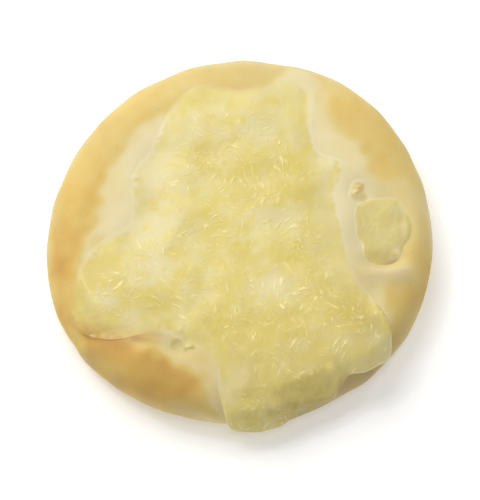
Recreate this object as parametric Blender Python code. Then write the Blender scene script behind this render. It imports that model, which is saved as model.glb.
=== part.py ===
"""A small round cheese manakish: a puffy baked bread with melted cheese on it.

Units are metres, +Z is up. The bread stands on z = 0 on its flat foot, and the
origin is under the middle of the whole thing. The photographed front is at -Y.
"""
import math

import bpy
import numpy as np

MM = 0.001

# The bread: a round of dough with a puffed rim and a shallow bed inside it.
BREAD_RADIUS = 60.2 * MM
CREST_HEIGHT = 17.8 * MM
WIDEST_HEIGHT = 7.5 * MM
RIM_WIDTH = 12.0 * MM
FOOT_INSET = 8.0 * MM
BED_DEPTH = 3.0 * MM
BED_SLOPE = 13.0 * MM

# The outline lies this far behind the middle that the topping is measured from.
BREAD_SET_BACK = 1.6 * MM

# Where hand shaping left the outline fuller or flatter:
# bearing from +X in degrees, how far outwards in mm, half width in degrees.
OUTLINE_SWELLS = (
    (58, 2.1, 28),
    (155, -1.0, 28),
    (216, 2.2, 33),
    (318, 0.6, 30),
    (302, -0.8, 6),
)

# Humps and dents of the upper crust: x, y, height, half width in x and in y, in mm.
CRUST_LUMPS = (
    (-52, 6, 0.9, 8, 24),
    (-34, 40, 0.6, 15, 10),
    (38, 38, 1.1, 15, 13),
    (-30, -44, 0.9, 18, 9),
    (44, -30, 0.8, 10, 12),
    (-29, -39.5, 0.9, 4, 3),
    (-20, -37, -1.3, 4, 3),
    (37, 15, -1.6, 4.5, 5),
    (45, -12.3, 1.5, 8, 3),
)

# The hollow in the right of the rim that holds the small pool of cheese.
POOL_CENTRE = (44.0 * MM, 2.0 * MM)
POOL_HALF_WIDTHS = (8.6 * MM, 10.6 * MM)
POOL_DEPTH = 3.6 * MM
POOL_CHEESE = 2.0 * MM
POOL_GAP = 0.45 * MM
POOL_NUB_BEARING = 116
POOL_NUB_REACH = 8.5 * MM
POOL_NUB_HALF_WIDTH = 15

# The melted sheet, walked round its edge from +X: bearing in degrees, reach from
# the middle along the crust, thickness of the lip, and the run over which the
# sheet swells from that lip to its full thickness. Lengths are in mm.
CHEESE_EDGE = (
    (5, 30.2, 1.2, 9),
    (24, 31.8, 1.2, 9),
    (31, 37.3, 1.3, 7),
    (38, 40.0, 1.4, 6),
    (50, 36.1, 0.8, 9),
    (60, 43.0, 0.6, 12),
    (67, 58.5, 0.5, 15),
    (72, 66.0, 0.5, 16),
    (77, 58.0, 0.6, 14),
    (80, 51.5, 0.9, 10),
    (88, 49.8, 1.0, 9),
    (104, 53.2, 1.1, 10),
    (114, 50.6, 1.1, 9),
    (124, 45.2, 1.2, 8),
    (136, 40.6, 1.3, 8),
    (150, 40.0, 1.3, 8),
    (168, 35.7, 1.1, 9),
    (177, 37.2, 1.1, 10),
    (186, 47.6, 1.2, 10),
    (197, 55.6, 1.5, 8),
    (209, 60.2, 1.9, 6),
    (220, 54.6, 1.9, 6),
    (232, 42.4, 1.2, 8),
    (248, 41.2, 1.2, 8),
    (256, 42.8, 1.2, 8),
    (261, 48.2, 1.3, 8),
    (264, 55.0, 1.7, 6),
    (267, 64.5, 2.4, 4),
    (270, 69.0, 2.6, 4),
    (275, 70.5, 3.2, 4),
    (281, 69.6, 2.2, 3),
    (290, 68.4, 1.1, 3),
    (299, 66.5, 0.8, 3),
    (305, 57.5, 1.6, 4),
    (311, 58.2, 2.5, 4),
    (319, 60.8, 2.8, 4),
    (326, 54.8, 2.4, 5),
    (334, 42.6, 1.6, 7),
    (345, 33.8, 1.3, 8),
)
CHEESE_MIDDLE = 3.2 * MM
CHEESE_OVER_RIM = 2.3 * MM
CHEESE_FOLD_REACH = 55.0 * MM
LIP_ROUNDING = 0.6
LOWEST_SAG = -0.05
SKIN_GAP = 0.3 * MM
CHORD_ALLOWANCE = 0.35 * MM

# Soft mounds in the sheet: x, y, height, half width in x and in y, in mm.
CHEESE_MOUNDS = (
    (-26, 20, 0.7, 9, 8),
    (-4, 32, 0.6, 14, 9),
    (12, 8, 0.7, 12, 8),
    (-38, -14, 0.8, 9, 9),
    (14, -22, 0.8, 13, 9),
    (34, -30, 0.8, 9, 9),
    (-8, -8, -0.7, 12, 10),
    (2, -45, 0.5, 9, 6),
)

# How finely the solids are faceted.
BEARINGS = 72
BED_RINGS = 7
CREST_RINGS = 4
RIM_RINGS = 7
UNDER_RINGS = 4
EDGE_STEPS = 108
SHEET_RINGS = 10
SHEET_CROWDING = 1.5
LIP_RINGS = (0.5, 0.12, 0.0)
POOL_BEARINGS = 32
POOL_RINGS = (0.0, 0.35, 0.65, 0.85, 0.96, 1.0)

CRUST_COLOUR = (0.70, 0.50, 0.22, 1.0)
CRUST_ROUGHNESS = 0.65
CHEESE_COLOUR = (0.74, 0.62, 0.26, 1.0)
CHEESE_ROUGHNESS = 0.35


def clear_scene():
    """Start from an empty scene."""
    for item in list(bpy.data.objects):
        bpy.data.objects.remove(item, do_unlink=True)


def ease(value):
    """Rise smoothly from 0 to 1 as the value goes from 0 to 1."""
    value = np.clip(value, 0.0, 1.0)
    return value * value * (3.0 - 2.0 * value)


def turn(bearing, centre):
    """Signed angle from a centre to a bearing, both in degrees."""
    return (bearing - centre + 180.0) % 360.0 - 180.0


def bell(distance):
    """A bell curve: 1 in the middle, 1/e where the distance is 1."""
    return np.exp(-distance * distance)


def lumps(table, x, y):
    """Sum of the humps and dents of a table, in metres, at plan points."""
    total = np.zeros(np.broadcast(x, y).shape)
    for centre_x, centre_y, height, half_x, half_y in table:
        across = (x - centre_x * MM) / (half_x * MM)
        along = (y - centre_y * MM) / (half_y * MM)
        total = total + height * MM * bell(np.hypot(across, along))
    return total


def outline_radius(bearing):
    """Plan radius of the bread's widest line."""
    radius = BREAD_RADIUS + BREAD_SET_BACK * np.sin(np.radians(bearing))
    for centre, outwards, half_width in OUTLINE_SWELLS:
        radius = radius + outwards * MM * bell(turn(bearing, centre) / half_width)
    return radius


def quarter_arc(half_a, half_b):
    """Length of a quarter of an ellipse, by its root mean square radius."""
    return math.pi / 2.0 * math.sqrt((half_a**2 + half_b**2) / 2.0)


RIM_RISE = CREST_HEIGHT - WIDEST_HEIGHT
RIM_ARC = quarter_arc(RIM_WIDTH, RIM_RISE)
UNDER_ARC = quarter_arc(FOOT_INSET, WIDEST_HEIGHT)


def pool_hollow(x, y):
    """Depth of the flat-bottomed hollow in the rim, at plan points."""
    across = (x - POOL_CENTRE[0]) / POOL_HALF_WIDTHS[0]
    along = (y - POOL_CENTRE[1]) / POOL_HALF_WIDTHS[1]
    return POOL_DEPTH * bell((across**2 + along**2) * 0.8)


def crust_height(x, y):
    """Height of the upper crust at plan points inside the widest line."""
    radius = np.hypot(x, y)
    crest = outline_radius(np.degrees(np.arctan2(y, x))) - RIM_WIDTH
    beyond = np.clip((radius - crest) / RIM_WIDTH, 0.0, 1.0)
    roundness = np.sqrt(1.0 - beyond**2)
    bed = BED_DEPTH * ease((crest - radius) / BED_SLOPE)
    relief = lumps(CRUST_LUMPS, x, y) - pool_hollow(x, y) - bed
    return WIDEST_HEIGHT + (RIM_RISE + relief) * roundness


def crust_point(bearing, along):
    """A point of the crust, walked outwards from the middle of the top.

    The walk runs level to the crest of the rim, then round a quarter ellipse
    down to the widest line, then round another one in to the foot.
    """
    outline = outline_radius(bearing)
    crest = outline - RIM_WIDTH
    over = np.clip((along - crest) / RIM_ARC, 0.0, 1.0) * math.pi / 2.0
    under = np.clip((along - crest - RIM_ARC) / UNDER_ARC, 0.0, 1.0) * math.pi / 2.0
    level = np.minimum(along, crest)
    radius = level + RIM_WIDTH * np.sin(over) - FOOT_INSET * (1.0 - np.cos(under))
    x = radius * np.cos(np.radians(bearing))
    y = radius * np.sin(np.radians(bearing))
    upper = crust_height(x, y)
    lower = WIDEST_HEIGHT * (1.0 - np.sin(under))
    return np.stack([x, y, np.where(under > 0.0, lower, upper)], axis=-1)


def crust_normal(bearing, along):
    """Outward normal of the crust, from two short steps across it."""
    step = 0.2 * MM
    swing = 0.3
    outwards = crust_point(bearing, along + step) - crust_point(bearing, along - step)
    sideways = crust_point(bearing + swing, along) - crust_point(bearing - swing, along)
    normal = np.cross(outwards, sideways)
    length = np.linalg.norm(normal, axis=-1, keepdims=True)
    return normal / np.maximum(length, 1e-12)


def edge_values(bearing):
    """Reach, lip and run of the sheet at a bearing, in metres.

    A smooth closed curve through the edge table: between two rows it is the
    cubic whose slope at each row is the slope between that row's neighbours.
    """
    table = np.array(CHEESE_EDGE, dtype=float)
    count = len(table)
    knots = table[:, 0]
    bearing = np.asarray(bearing, dtype=float) % 360.0
    after = np.searchsorted(knots, bearing, side="right") % count
    before = (after - 1) % count
    span = (knots[after] - knots[before]) % 360.0
    share = (((bearing - knots[before]) % 360.0) / span)[..., None]
    slopes = np.roll(table[:, 1:], -1, axis=0) - np.roll(table[:, 1:], 1, axis=0)
    slopes = slopes / ((np.roll(knots, -1) - np.roll(knots, 1)) % 360.0)[:, None]
    start = table[before, 1:]
    end = table[after, 1:]
    start_slope = slopes[before] * span[..., None]
    end_slope = slopes[after] * span[..., None]
    blend = ease(share)
    bow = start_slope * share * (1.0 - share) ** 2 - end_slope * share**2 * (1.0 - share)
    return (start + (end - start) * blend + bow) * MM


def sheet_thickness(bearing, along):
    """Thickness of the cheese sheet at a walked distance from the middle.

    It is full in the bed and thinner where it climbs over the rim. It runs out
    to its lip over the run and closes at the edge with a rounded corner. Past the
    fold it hangs as a film of lip thickness.
    """
    reach, lip, run = np.moveaxis(edge_values(bearing), -1, 0)
    from_edge = np.maximum(reach - along, 0.0)
    from_fold = np.minimum(reach, CHEESE_FOLD_REACH) - along
    plan = crust_point(bearing, along)
    mounds = lumps(CHEESE_MOUNDS, plan[..., 0], plan[..., 1])
    swelling = ease(from_fold / run)
    climb = ease((along - outline_radius(bearing) + RIM_WIDTH) / BED_SLOPE + 1.0)
    full = CHEESE_MIDDLE + (CHEESE_OVER_RIM - CHEESE_MIDDLE) * climb + mounds
    body = lip + (full - lip) * swelling
    corner = np.clip(from_edge / (LIP_ROUNDING * lip), 0.0, 1.0)
    return body * np.sqrt(corner * (2.0 - corner))


def sheet_direction(normal):
    """Way the cheese stands off the crust: never far below level on the flank."""
    direction = normal.copy()
    direction[..., 2] = np.maximum(direction[..., 2], LOWEST_SAG)
    return direction / np.linalg.norm(direction, axis=-1, keepdims=True)


def make_material(name, colour, roughness):
    """A plain dielectric surface of one colour."""
    material = bpy.data.materials.new(name)
    material.use_nodes = True
    shader = material.node_tree.nodes["Principled BSDF"]
    shader.inputs["Base Color"].default_value = colour
    shader.inputs["Roughness"].default_value = roughness
    shader.inputs["Metallic"].default_value = 0.0
    material.diffuse_color = colour
    return material


def ring_faces(rings):
    """Triangles between rings of points, split along each quad's shorter diagonal."""
    levels, count, _ = rings.shape
    index = np.arange(levels * count).reshape(levels, count)
    near = index[:-1].ravel()
    far = index[1:].ravel()
    near_beside = np.roll(index[:-1], -1, axis=1).ravel()
    far_beside = np.roll(index[1:], -1, axis=1).ravel()
    points = rings.reshape(-1, 3)
    rising = np.linalg.norm(points[near] - points[far_beside], axis=1)
    falling = np.linalg.norm(points[far] - points[near_beside], axis=1)
    rises = (rising < falling)[:, None]
    first = np.where(
        rises,
        np.stack([near, far, far_beside], axis=1),
        np.stack([near, far, near_beside], axis=1),
    )
    second = np.where(
        rises,
        np.stack([near, far_beside, near_beside], axis=1),
        np.stack([near_beside, far, far_beside], axis=1),
    )
    return np.vstack([first, second]).tolist()


def make_object(name, points, faces, material):
    """Put points and faces into a named, smooth shaded object."""
    mesh = bpy.data.meshes.new(name)
    mesh.from_pydata(points.reshape(-1, 3).tolist(), [], faces)
    mesh.validate()
    mesh.shade_smooth()
    mesh.materials.append(material)
    item = bpy.data.objects.new(name, mesh)
    bpy.context.collection.objects.link(item)
    return item


def make_domed_body(name, rings, pole_top, pole_bottom, material):
    """Close a stack of rings with a fan at the top and one at the bottom."""
    count = rings.shape[1]
    faces = ring_faces(rings)
    top = rings.shape[0] * count
    bottom = top + 1
    last = top - count
    for spoke in range(count):
        beside = (spoke + 1) % count
        faces.append((top, spoke, beside))
        faces.append((bottom, last + beside, last + spoke))
    points = np.vstack([rings.reshape(-1, 3), pole_top, pole_bottom])
    return make_object(name, points, faces, material)


def make_bread(material):
    """The bread: rings down from the middle of the bed to the flat foot."""
    bearing = np.arange(BEARINGS) * 360.0 / BEARINGS
    crest = outline_radius(bearing) - RIM_WIDTH
    slope_start = crest - BED_SLOPE
    rings = []
    for share in np.arange(1, BED_RINGS + 1) / BED_RINGS:
        rings.append(slope_start * share)
    for share in np.arange(1, CREST_RINGS + 1) / CREST_RINGS:
        rings.append(slope_start + BED_SLOPE * share)
    for share in np.arange(1, RIM_RINGS + 1) / RIM_RINGS:
        rings.append(crest + RIM_ARC * share)
    for share in np.arange(1, UNDER_RINGS + 1) / UNDER_RINGS:
        rings.append(crest + RIM_ARC + UNDER_ARC * share)
    points = np.array([crust_point(bearing, along) for along in rings])
    middle = crust_point(0.0, 0.0)
    foot = np.array([0.0, 0.0, 0.0])
    points[-1, :, 2] = 0.0
    return make_domed_body("bread", points, middle, foot, material)


def sheet_bearings():
    """Bearings that step evenly along the edge of the sheet, so steep runs get more."""
    bearing = np.linspace(0.0, 360.0, 1441)
    reach = edge_values(bearing)[:, 0]
    x = reach * np.cos(np.radians(bearing))
    y = reach * np.sin(np.radians(bearing))
    walked = np.concatenate([[0.0], np.cumsum(np.hypot(np.diff(x), np.diff(y)))])
    return np.interp(np.arange(EDGE_STEPS) / EDGE_STEPS * walked[-1], walked, bearing)


def sheet_floor(bearing, along, normal):
    """Underside of the sheet: a thin gap off the crust.

    Near the rim it is lifted a little more, because the straight facets cut
    across its rounding.
    """
    crest = outline_radius(bearing) - RIM_WIDTH
    lift = SKIN_GAP + CHORD_ALLOWANCE * ease((along - crest) / BED_SLOPE + 1.0)
    return crust_point(bearing, along) + normal * lift[:, None]


def make_cheese(material):
    """The main sheet: its top and its underside are walked over the same crust."""
    bearing = sheet_bearings()
    reach, lip, _ = np.moveaxis(edge_values(bearing), -1, 0)
    corner = LIP_ROUNDING * lip
    shares = 1.0 - (1.0 - np.arange(1, SHEET_RINGS + 1) / SHEET_RINGS) ** SHEET_CROWDING
    rings = [(reach - corner) * share for share in shares]
    rings = rings + [reach - corner * share for share in LIP_RINGS]
    under = []
    top = []
    for along in rings:
        normal = crust_normal(bearing, along)
        floor = sheet_floor(bearing, along, normal)
        thickness = sheet_thickness(bearing, along)[:, None]
        under.append(floor)
        top.append(floor + sheet_direction(normal) * thickness)
    shell = np.array(top + under[-2::-1])
    middle = crust_point(0.0, 0.0) + np.array([0.0, 0.0, SKIN_GAP])
    crown = middle + np.array([0.0, 0.0, float(sheet_thickness(0.0, 0.0))])
    return make_domed_body("cheese", shell, crown, middle, material)


def pool_radius(bearing):
    """Plan radius of the pool about its own middle, with its nub."""
    angle = np.radians(bearing)
    across = np.cos(angle) / POOL_HALF_WIDTHS[0]
    along = np.sin(angle) / POOL_HALF_WIDTHS[1]
    oval = 0.93 / np.hypot(across, along)
    swing = turn(bearing, POOL_NUB_BEARING) / POOL_NUB_HALF_WIDTH
    nub = POOL_NUB_REACH * bell(swing**2)
    return oval + nub


def make_pool(material):
    """The small puddle of cheese: a low dome that follows the hollow under it."""
    bearing = np.arange(POOL_BEARINGS) * 360.0 / POOL_BEARINGS
    shares = np.array(POOL_RINGS)[:, None]
    radius = pool_radius(bearing) * shares
    x = POOL_CENTRE[0] + radius * np.cos(np.radians(bearing))
    y = POOL_CENTRE[1] + radius * np.sin(np.radians(bearing))
    floor = crust_height(x, y) + POOL_GAP
    top = floor + POOL_CHEESE * np.sqrt(1.0 - shares**4)
    under_points = np.stack([x, y, floor], axis=-1)
    top_points = np.stack([x, y, top], axis=-1)
    shell = np.concatenate([top_points[1:], under_points[-2:0:-1]])
    pole_top = top_points[0, 0]
    pole_bottom = under_points[0, 0]
    return make_domed_body("cheese_pool", shell, pole_top, pole_bottom, material)


def make_seat():
    """An empty under the middle of the foot, which carries the pieces."""
    seat = bpy.data.objects.new("manakish_seat", None)
    bpy.context.collection.objects.link(seat)
    return seat


def build_manakish():
    """Make the three solids and seat them."""
    clear_scene()
    crust = make_material("crust", CRUST_COLOUR, CRUST_ROUGHNESS)
    melted = make_material("melted_cheese", CHEESE_COLOUR, CHEESE_ROUGHNESS)
    seat = make_seat()
    for item in (make_bread(crust), make_cheese(melted), make_pool(melted)):
        item.parent = seat


build_manakish()
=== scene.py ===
# %% [markdown]
# # A small cheese manakish
#
# A manakish is a round of soft dough, pressed down in the middle, topped with grated
# cheese and baked on a hot floor. The rim puffs up and browns, the cheese half melts,
# slumps together and here and there runs over the rim. This lesson builds one from
# surfaces that are worked out with numpy, and finishes them with node materials.
#
# First the imported solids are loaded. They fix the place and the size of everything.

import math

import bpy
import numpy as np
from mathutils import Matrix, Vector


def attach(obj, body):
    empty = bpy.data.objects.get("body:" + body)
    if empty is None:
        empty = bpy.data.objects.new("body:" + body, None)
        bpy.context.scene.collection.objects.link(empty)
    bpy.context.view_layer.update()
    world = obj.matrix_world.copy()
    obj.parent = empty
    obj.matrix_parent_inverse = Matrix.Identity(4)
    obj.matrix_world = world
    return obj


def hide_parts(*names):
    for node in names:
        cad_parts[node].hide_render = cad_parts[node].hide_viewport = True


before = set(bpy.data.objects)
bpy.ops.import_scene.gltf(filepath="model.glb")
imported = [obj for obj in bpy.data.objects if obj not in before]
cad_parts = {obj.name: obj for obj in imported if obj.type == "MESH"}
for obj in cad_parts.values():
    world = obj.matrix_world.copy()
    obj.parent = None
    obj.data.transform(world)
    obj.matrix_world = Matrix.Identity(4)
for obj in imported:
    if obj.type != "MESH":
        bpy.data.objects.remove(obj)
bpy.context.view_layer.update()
MM = 0.001
print("nodes:", sorted(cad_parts))

# %% [markdown]
# ## Camera, light and floor
#
# The bread lies on a white table and is seen from high above, a little from the front.
# A long lens far away keeps the round shape free of perspective. Most of the light is a
# broad soft sheet behind and to the left, so that the front of the rim falls into a mild
# shade. Three much smaller lamps put the tiny wet glints on the cheese.

# %% Camera
CAMERA_ELEVATION = math.radians(68.0)
LENS = 250.0
SENSOR = 36.0
FRAME_HEIGHT = 156.25 * MM
CAMERA_DISTANCE = LENS / SENSOR * FRAME_HEIGHT
NEAREST_SEEN = 0.01
FARTHEST_SEEN = 10.0
AIM = np.array([0.0, -2.4, 9.5]) * MM


def look_from(item, place, target):
    """Put an item at a place and turn its -Z axis towards a target."""
    item.location = Vector(place)
    ahead = Vector(target) - Vector(place)
    item.rotation_euler = ahead.to_track_quat("-Z", "Y").to_euler()


def add_camera():
    """The photograph's view: straight from the front, looking steeply down."""
    data = bpy.data.cameras.new("camera")
    data.lens = LENS
    data.sensor_width = SENSOR
    data.clip_start = NEAREST_SEEN
    data.clip_end = FARTHEST_SEEN
    camera = bpy.data.objects.new("camera", data)
    bpy.context.collection.objects.link(camera)
    back = np.array([0.0, -math.cos(CAMERA_ELEVATION), math.sin(CAMERA_ELEVATION)])
    look_from(camera, AIM + back * CAMERA_DISTANCE, AIM)
    bpy.context.scene.camera = camera
    return camera


camera = add_camera()
print("camera at, mm:", [round(value / MM) for value in camera.location])

# %% Light
SKY_STRENGTH = 0.385
LAMPS = (
    # name, place in m, size in m, power in W, colour
    ("window", (-0.56, 0.75, 1.08), 1.20, 14.4, (1.0, 0.99, 0.975)),
    ("glint", (-0.55, 0.35, 0.95), 0.05, 0.8, (1.0, 0.99, 0.98)),
    ("spark", (0.05, -0.18, 1.15), 0.05, 0.7, (1.0, 0.99, 0.98)),
    ("twinkle", (0.55, 0.60, 0.90), 0.05, 0.7, (1.0, 0.99, 0.98)),
)


def add_lamp(name, place, size, power, colour):
    """A square area lamp that faces the bread."""
    data = bpy.data.lights.new(name, "AREA")
    data.size = size
    data.energy = power
    data.color = colour
    lamp = bpy.data.objects.new(name, data)
    bpy.context.collection.objects.link(lamp)
    look_from(lamp, place, AIM)


def add_sky():
    """An even pale surround, which lights every side a little."""
    world = bpy.data.worlds.new("studio")
    world.use_nodes = True
    background = world.node_tree.nodes["Background"]
    background.inputs["Color"].default_value = (1.0, 1.0, 1.0, 1.0)
    background.inputs["Strength"].default_value = SKY_STRENGTH
    bpy.context.scene.world = world


for lamp_row in LAMPS:
    add_lamp(*lamp_row)
add_sky()
bpy.context.scene.view_settings.view_transform = "Standard"
print("lamps:", [row[0] for row in LAMPS])

# %% Floor
FLOOR_HALF = 1.5
TABLE_PAINT = (0.93, 0.93, 0.93, 1.0)
TABLE_ROUGHNESS = 0.8
TABLE_GLOW = 0.26


def add_floor():
    """One large pale sheet at the height that the bread stands on."""
    mesh = bpy.data.meshes.new("floor")
    corners = [(-FLOOR_HALF, -FLOOR_HALF, 0), (FLOOR_HALF, -FLOOR_HALF, 0)]
    corners += [(FLOOR_HALF, FLOOR_HALF, 0), (-FLOOR_HALF, FLOOR_HALF, 0)]
    mesh.from_pydata(corners, [], [(0, 1, 2, 3)])
    floor = bpy.data.objects.new("floor", mesh)
    bpy.context.collection.objects.link(floor)
    material = bpy.data.materials.new("white_table")
    material.use_nodes = True
    shader = material.node_tree.nodes["Principled BSDF"]
    shader.inputs["Base Color"].default_value = TABLE_PAINT
    shader.inputs["Roughness"].default_value = TABLE_ROUGHNESS
    shader.inputs["Emission Color"].default_value = (1.0, 1.0, 1.0, 1.0)
    shader.inputs["Emission Strength"].default_value = TABLE_GLOW
    mesh.materials.append(material)


add_floor()
print("floor is", 2 * FLOOR_HALF, "m wide")

# %% [markdown]
# ## The shape of the bread
#
# Baked dough has no flat faces and no edges. It is best thought of as a walk: from the
# middle of the top outwards to the crest of the rim, round the rim, and back in under it
# to the foot. Each point is then a function of two numbers, the bearing and the distance
# walked, and a puffed rim is two quarter ellipses. Small humps and dents are bell curves
# that are added to the height.

# %% Sizes of the bread
BREAD_RADIUS = 60.2 * MM
BREAD_SET_BACK = 1.6 * MM
CREST_HEIGHT = 17.8 * MM
WIDEST_HEIGHT = 7.5 * MM
RIM_RISE = CREST_HEIGHT - WIDEST_HEIGHT
RIM_WIDTH = 12.0 * MM
FOOT_INSET = 8.0 * MM
BED_DEPTH = 1.2 * MM
BED_START = 7.0 * MM
BED_SLOPE = 15.0 * MM
OUTLINE_SWELLS = (
    # bearing in degrees, outwards in mm, half width in degrees
    (58, 2.1, 28), (155, -1, 28), (216, 2.2, 33), (318, 0.6, 30), (302, -0.8, 6), (95, 0.6, 7),
)
CRUST_LUMPS = (
    # x, y, height, half width in x and in y, all in mm
    (-52, 6, 0.9, 8, 24), (-34, 40, 0.6, 15, 10), (38, 38, 1.1, 15, 13), (-30, -44, 0.9, 18, 9),
    (44, -28, -0.6, 12, 13), (10, -50, -1.8, 30, 13), (-29, -39.5, 0.9, 4, 3),
    (-20, -37, -1.3, 4, 3), (37, 15, -1.6, 4.5, 5), (46.5, -13, 0.9, 8, 3.4),
)
# the hollow for the pool: its middle and its half widths in mm, as in the tables
POOL_CENTRE = (43.6, 1.9)
POOL_HALF_WIDTHS = (8.6, 11.6)
POOL_DEPTH = 2.8 * MM
POOL_STEEPNESS = 0.8


def quarter_arc(half_a, half_b):
    """Length of a quarter of an ellipse, by its root mean square radius."""
    return math.pi / 2.0 * math.sqrt((half_a**2 + half_b**2) / 2.0)


RIM_ARC = quarter_arc(RIM_WIDTH, RIM_RISE)
UNDER_ARC = quarter_arc(FOOT_INSET, WIDEST_HEIGHT)
print("walk round the rim, mm:", round(RIM_ARC / MM, 1), "+", round(UNDER_ARC / MM, 1))


# %% Small rules that shapes and colours share
RIPPLE_WAVES = 28
RIPPLE_SPREAD = (0.7, 1.4)


def ease(value):
    """Rise smoothly from 0 to 1 as the value goes from 0 to 1."""
    value = np.clip(value, 0.0, 1.0)
    return value * value * (3.0 - 2.0 * value)


def turn(bearing, centre):
    """Signed angle from a centre to a bearing, both in degrees."""
    return (bearing - centre + 180.0) % 360.0 - 180.0


def bell(distance):
    """A bell curve: 1 in the middle, 1/e where the distance is 1."""
    return np.exp(-distance * distance)


def spot(x, y, centre_x, centre_y, half_x, half_y):
    """Distance from the middle of an oval spot, in its own half widths."""
    return np.hypot((x - centre_x) / half_x, (y - centre_y) / half_y)


def ripple(x, y, wavelength, seed):
    """Gentle unevenness: plane waves of about one wavelength from every side.

    Each wave is the cosine of its direction's share of the place plus a phase. The
    sum is divided so that its usual size is 1.
    """
    draw = np.random.default_rng(seed)
    angle = draw.uniform(0.0, 2.0 * math.pi, RIPPLE_WAVES)
    phase = draw.uniform(0.0, 2.0 * math.pi, RIPPLE_WAVES)
    pitch = 2.0 * math.pi / (wavelength * draw.uniform(*RIPPLE_SPREAD, RIPPLE_WAVES))
    total = np.zeros(np.broadcast(x, y).shape)
    for heading, start, rate in zip(angle, phase, pitch):
        share = x * math.cos(heading) + y * math.sin(heading)
        total += np.cos(rate * share + start)
    return total / math.sqrt(RIPPLE_WAVES / 2.0)


def ripples(table, x, y):
    """Sum of the ripples of a table of wavelengths, heights and seeds."""
    return sum(height * ripple(x, y, wavelength, seed) for wavelength, height, seed in table)


def swells(table, bearing):
    """Sum of a table's swells round a ring, in metres: a bell curve about each bearing."""
    rows = (outwards * bell(turn(bearing, centre) / wide) for centre, outwards, wide in table)
    return sum(rows) * MM


def lumps(table, x, y):
    """Sum of the humps and dents of a table, in metres, at plan points."""
    total = np.zeros(np.broadcast(x, y).shape)
    for centre_x, centre_y, height, half_x, half_y in table:
        away = spot(x / MM, y / MM, centre_x, centre_y, half_x, half_y)
        total = total + height * MM * bell(away)
    return total


print("ease(0.5) =", ease(0.5), " bell(1) =", round(float(bell(1.0)), 3))

# %% The crust as a function of bearing and distance walked
NORMAL_STEP = 0.2 * MM
NORMAL_SWING = 0.3
INNERMOST = 2.0 * MM
TINY = 1e-12


def outline_radius(bearing):
    """Plan radius of the bread's widest line."""
    radius = BREAD_RADIUS + BREAD_SET_BACK * np.sin(np.radians(bearing))
    return radius + swells(OUTLINE_SWELLS, bearing)


def pool_hollow(x, y):
    """Depth of the flat-bottomed hollow in the rim: a bell of the squared distance."""
    away = spot(x / MM, y / MM, *POOL_CENTRE, *POOL_HALF_WIDTHS)
    return POOL_DEPTH * bell(away**2 * POOL_STEEPNESS)


def crust_height(x, y):
    """Height of the upper crust at plan points inside the widest line."""
    radius = np.hypot(x, y)
    crest = outline_radius(np.degrees(np.arctan2(y, x))) - RIM_WIDTH
    beyond = np.clip((radius - crest) / RIM_WIDTH, 0.0, 1.0)
    roundness = np.sqrt(1.0 - beyond**2)
    bed = BED_DEPTH * ease((crest - BED_START - radius) / BED_SLOPE)
    relief = lumps(CRUST_LUMPS, x, y) - pool_hollow(x, y) - bed
    return WIDEST_HEIGHT + (RIM_RISE + relief) * roundness


def crust_point(bearing, along):
    """A point of the crust, walked outwards from the middle of the top.

    The walk runs level to the crest, then round a quarter ellipse down to the
    widest line, then round another one in to the foot.
    """
    crest = outline_radius(bearing) - RIM_WIDTH
    over = np.clip((along - crest) / RIM_ARC, 0.0, 1.0) * math.pi / 2.0
    under = np.clip((along - crest - RIM_ARC) / UNDER_ARC, 0.0, 1.0) * math.pi / 2.0
    level = np.minimum(along, crest)
    radius = level + RIM_WIDTH * np.sin(over) - FOOT_INSET * (1.0 - np.cos(under))
    x = radius * np.cos(np.radians(bearing))
    y = radius * np.sin(np.radians(bearing))
    lower = WIDEST_HEIGHT * (1.0 - np.sin(under))
    return np.stack([x, y, np.where(under > 0.0, lower, crust_height(x, y))], axis=-1)


def crust_normal(bearing, along):
    """Outward normal of the crust, from two short steps across it."""
    along = np.maximum(along, INNERMOST)
    outwards = crust_point(bearing, along + NORMAL_STEP) - crust_point(bearing, along - NORMAL_STEP)
    ahead = crust_point(bearing + NORMAL_SWING, along)
    sideways = ahead - crust_point(bearing - NORMAL_SWING, along)
    normal = np.cross(outwards, sideways)
    length = np.linalg.norm(normal, axis=-1, keepdims=True)
    return normal / np.maximum(length, TINY)


print("crest at the front, mm:", np.round(crust_point(270.0, 46.6 * MM) / MM, 1))

# %% [markdown]
# ## The edge of the cheese
#
# The melted sheet has lobes, a thin tongue over the back of the rim and a drip at the
# front. Its outline is one closed smooth curve through a few rows, each with a bearing,
# how far the cheese reaches along the crust, how thick its lip is, and over what run it
# swells to its full thickness. The crust's colour needs this curve too, because dough
# next to the cheese stays pale.

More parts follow.
